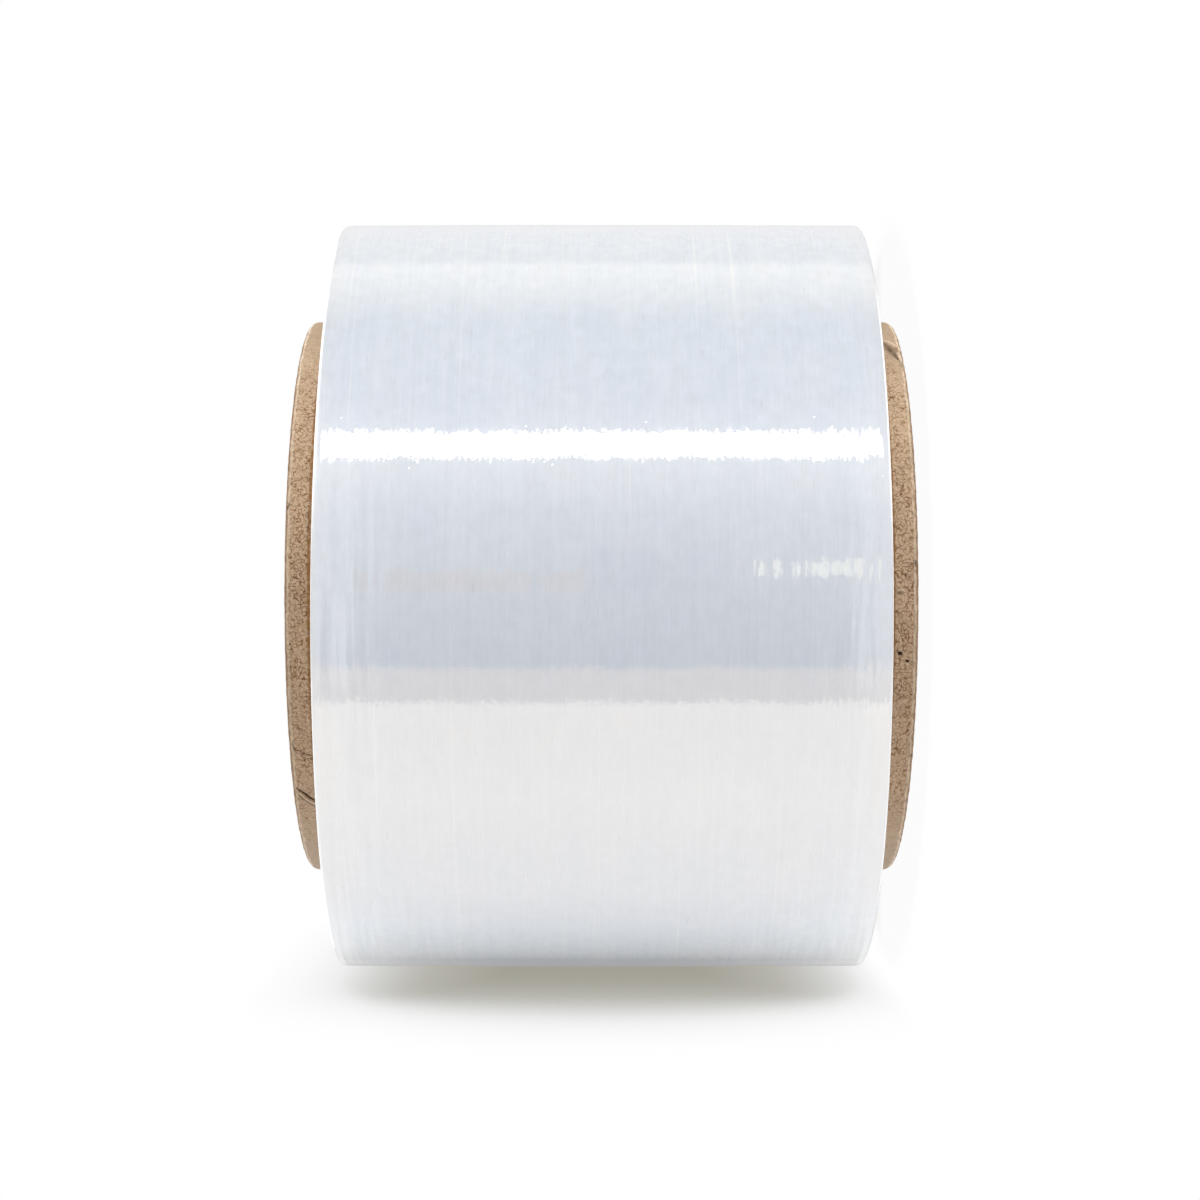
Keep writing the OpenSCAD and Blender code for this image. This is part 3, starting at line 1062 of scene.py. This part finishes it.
def round_part(angle_deg):
    """An angle from -180 to 180 as a part of the way round."""
    return (angle_deg + 180) / 360


def tone_by_angle(tree, tones):
    along = node(tree, "ShaderNodeAttribute", -600, 0, attribute_name="along").outputs["Fac"]
    return ramp(tree, -300, 0, along, [(round_part(angle), tone) for angle, tone in tones])


def round_card(name, rings, material):
    """A band right round the roll between two rings, each a radius and a height, that knows the
    angle it is at."""
    angles = np.linspace(-180, 180, SURROUND_STEPS + 1)
    points = [round_point(angle, radius, z) for radius, z in rings for angle in angles]
    next_ring = len(angles)
    faces = [(i, i + 1, next_ring + i + 1, next_ring + i) for i in range(SURROUND_STEPS)]
    made = staged(name, points, faces, material)
    along = made.data.attributes.new("along", "FLOAT", "POINT")
    along.data.foreach_set("value", np.tile(round_part(angles), 2).astype(np.float32))
    only_reflected(made)


def make_surround():
    """The studio all round the roll, which only the film's gloss shows."""
    material, tree, glow = glow_material("surround_cards")
    base_tone = tone_by_angle(tree, SURROUND_TONES)
    *_, z_part = object_place(tree, -1100, -300)
    level = math_node(tree, "SUBTRACT", -780, -300, z_part, ROLL_MIDDLE.z)
    height = math_node(tree, "ABSOLUTE", -640, -300, level)
    height = math_node(tree, "DIVIDE", -500, -300, height, GLOW_REACH)
    height = math_node(tree, "MINIMUM", -360, -300, height, GLOW_CAP)
    extra = tone_by_angle(tree, [(angle, (*values, 0)) for angle, values in SURROUND_GLOW])
    extra = node(tree, "ShaderNodeSeparateXYZ", -320, -520, Vector=extra).outputs
    power = math_node(tree, "MULTIPLY", -160, -600, extra["Y"], POWER_SCALE)
    growth = math_node(tree, "POWER", -160, -400, height, power)
    amount = math_node(tree, "MULTIPLY", 0, -400, growth, extra["X"])
    added = scaled(tree, 160, -300, GLOW_COLOUR, amount)
    total = vector_node(tree, "ADD", 160, -80, base_tone, added)
    above = spread(tree, 0, -560, level, UPPER_TONE_FROM, UPPER_TONE_TO, 0.0, 1.0)
    below = spread(tree, 0, -700, level, LOWER_TONE_FROM, LOWER_TONE_TO, 0.0, 1.0)
    beyond = math_node(tree, "MAXIMUM", 160, -560, above, below)
    rim_tone = tone_by_angle(tree, END_CARD_TONES)
    give(tree, glow, mixed(tree, 320, -200, beyond, total, rim_tone))
    round_card("surround", [(SURROUND_R, SURROUND_LOW), (SURROUND_R, SURROUND_HIGH)], material)


# Small things in the studio that the film shows: angles, heights above the roll's middle, tone
SMALL_CARDS = [
    ("pale_strip", 1.2, 6.8, 0.012, 0.10, (1.19, 1.15, 1.20)),
    ("dim_patch", 0.7, 12.7, -0.034, 0.008, (1.10, 1.15, 1.29)),
    ("small_window", 5.4, 9.5, -0.112, -0.080, (1.75, 1.75, 1.68)),
]
SMALL_CARD_R = SURROUND_R - 0.01
END_CARD_INNER_R, END_CARD_RISE = 0.22, 0.15


def make_small_cards():
    for name, start, end, low, high, tone in SMALL_CARDS:
        low, high = ROLL_MIDDLE.z + low, ROLL_MIDDLE.z + high
        corners = [(start, low), (end, low), (end, high), (start, high)]
        material, tree, glow = glow_material(name)
        give(tree, glow, (*tone, 1))
        points = [round_point(angle, SMALL_CARD_R, z) for angle, z in corners]
        only_reflected(staged(name, points, [(0, 1, 2, 3)], material))


def make_end_cards():
    """A bright cone beyond each end of the roll, which only the film's rounded rims mirror."""
    material, tree, glow = glow_material("end_cards")
    give(tree, glow, tone_by_angle(tree, END_CARD_TONES))
    for name, z_outer, rise in (
        ("upper_end_card", SURROUND_HIGH, END_CARD_RISE),
        ("lower_end_card", SURROUND_LOW, -END_CARD_RISE),
    ):
        rings = [(SURROUND_R, z_outer), (END_CARD_INNER_R, z_outer + rise)]
        round_card(name, rings, material)


# Lamps: the angle round the roll, the distance, the half angles seen from the roll round its
# axis and along it, the radiance and the colour
STRIP_LIGHT = (43.4, 0.7, (3.65, 12.3), 7.5, (1, 1, 1))
TOP_LIGHT = (75, 0.75, (17, 20), 5.6, (0.95, 0.99, 1.0))
UNDER_LIGHT = (-100, 0.75, (25, 30), 1.1, (0.97, 0.99, 1.0))


def turned_to(place, right, up, back):
    """A matrix for an object at a place, with its own X, Y and Z along three directions."""
    return Matrix.Translation(place) @ Matrix((right, up, back)).transposed().to_4x4()


def area_lamp(name, angle_deg, distance, half_angles_deg, radiance, colour):
    """A flat lamp that faces the roll's axis from one angle; its radiance is what it shows."""
    width, height = (2 * distance * math.tan(math.radians(a)) for a in half_angles_deg)
    data = bpy.data.lights.new(name, "AREA")
    data.shape = "RECTANGLE"
    data.size, data.size_y = width, height
    data.energy = radiance * math.pi * width * height
    data.color = colour
    lamp = bpy.data.objects.new(name, data)
    place = Vector(round_point(angle_deg, distance, ROLL_MIDDLE.z))
    back = (place - ROLL_MIDDLE).normalized()
    up = Vector((0, 0, 1))
    lamp.matrix_world = turned_to(place, up.cross(back), up, back)
    lamp.visible_camera = False
    bpy.context.scene.collection.objects.link(lamp)
    return lamp


def make_lamps():
    area_lamp("strip_light", *STRIP_LIGHT).visible_diffuse = False
    area_lamp("top_light", *TOP_LIGHT).visible_glossy = False
    area_lamp("under_light", *UNDER_LIGHT).visible_glossy = False


# Photograph's camera, fitted to the outlines of the film and the tube
CAMERA_DISTANCE = 397.8 * MM
CAMERA_UP = -0.63 * MM
CAMERA_LEFT = 0.19 * MM
PICTURE_W = 1200
FOCAL_PIXELS = 2620.4
SENSOR_W_MM = 36.0
NEAREST_SEEN, FARTHEST_SEEN = 0.01, 50


def make_camera():
    data = bpy.data.cameras.new("camera")
    data.sensor_width = SENSOR_W_MM
    data.lens = SENSOR_W_MM * FOCAL_PIXELS / PICTURE_W
    data.clip_start, data.clip_end = NEAREST_SEEN, FARTHEST_SEEN
    camera = bpy.data.objects.new("camera", data)
    place = Vector((CAMERA_UP, -CAMERA_DISTANCE, ROLL_MIDDLE.z + CAMERA_LEFT))
    camera.matrix_world = turned_to(place, (0, 0, -1), (1, 0, 0), (0, -1, 0))
    bpy.context.scene.collection.objects.link(camera)
    bpy.context.scene.camera = camera


def dress(piece, solid, material):
    """Puts a finished piece in its solid's place."""
    piece.data.materials.append(material)
    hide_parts(solid)
    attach(piece, "root")


make_camera()
dress(make_film(), "film_roll", film_material())
dress(make_tube(), "cardboard_core", kraft_material())
make_world()
make_floor()
make_side_paper()
make_surround()
make_small_cards()
make_end_cards()
make_lamps()
bpy.context.scene.view_settings.view_transform = "Standard"
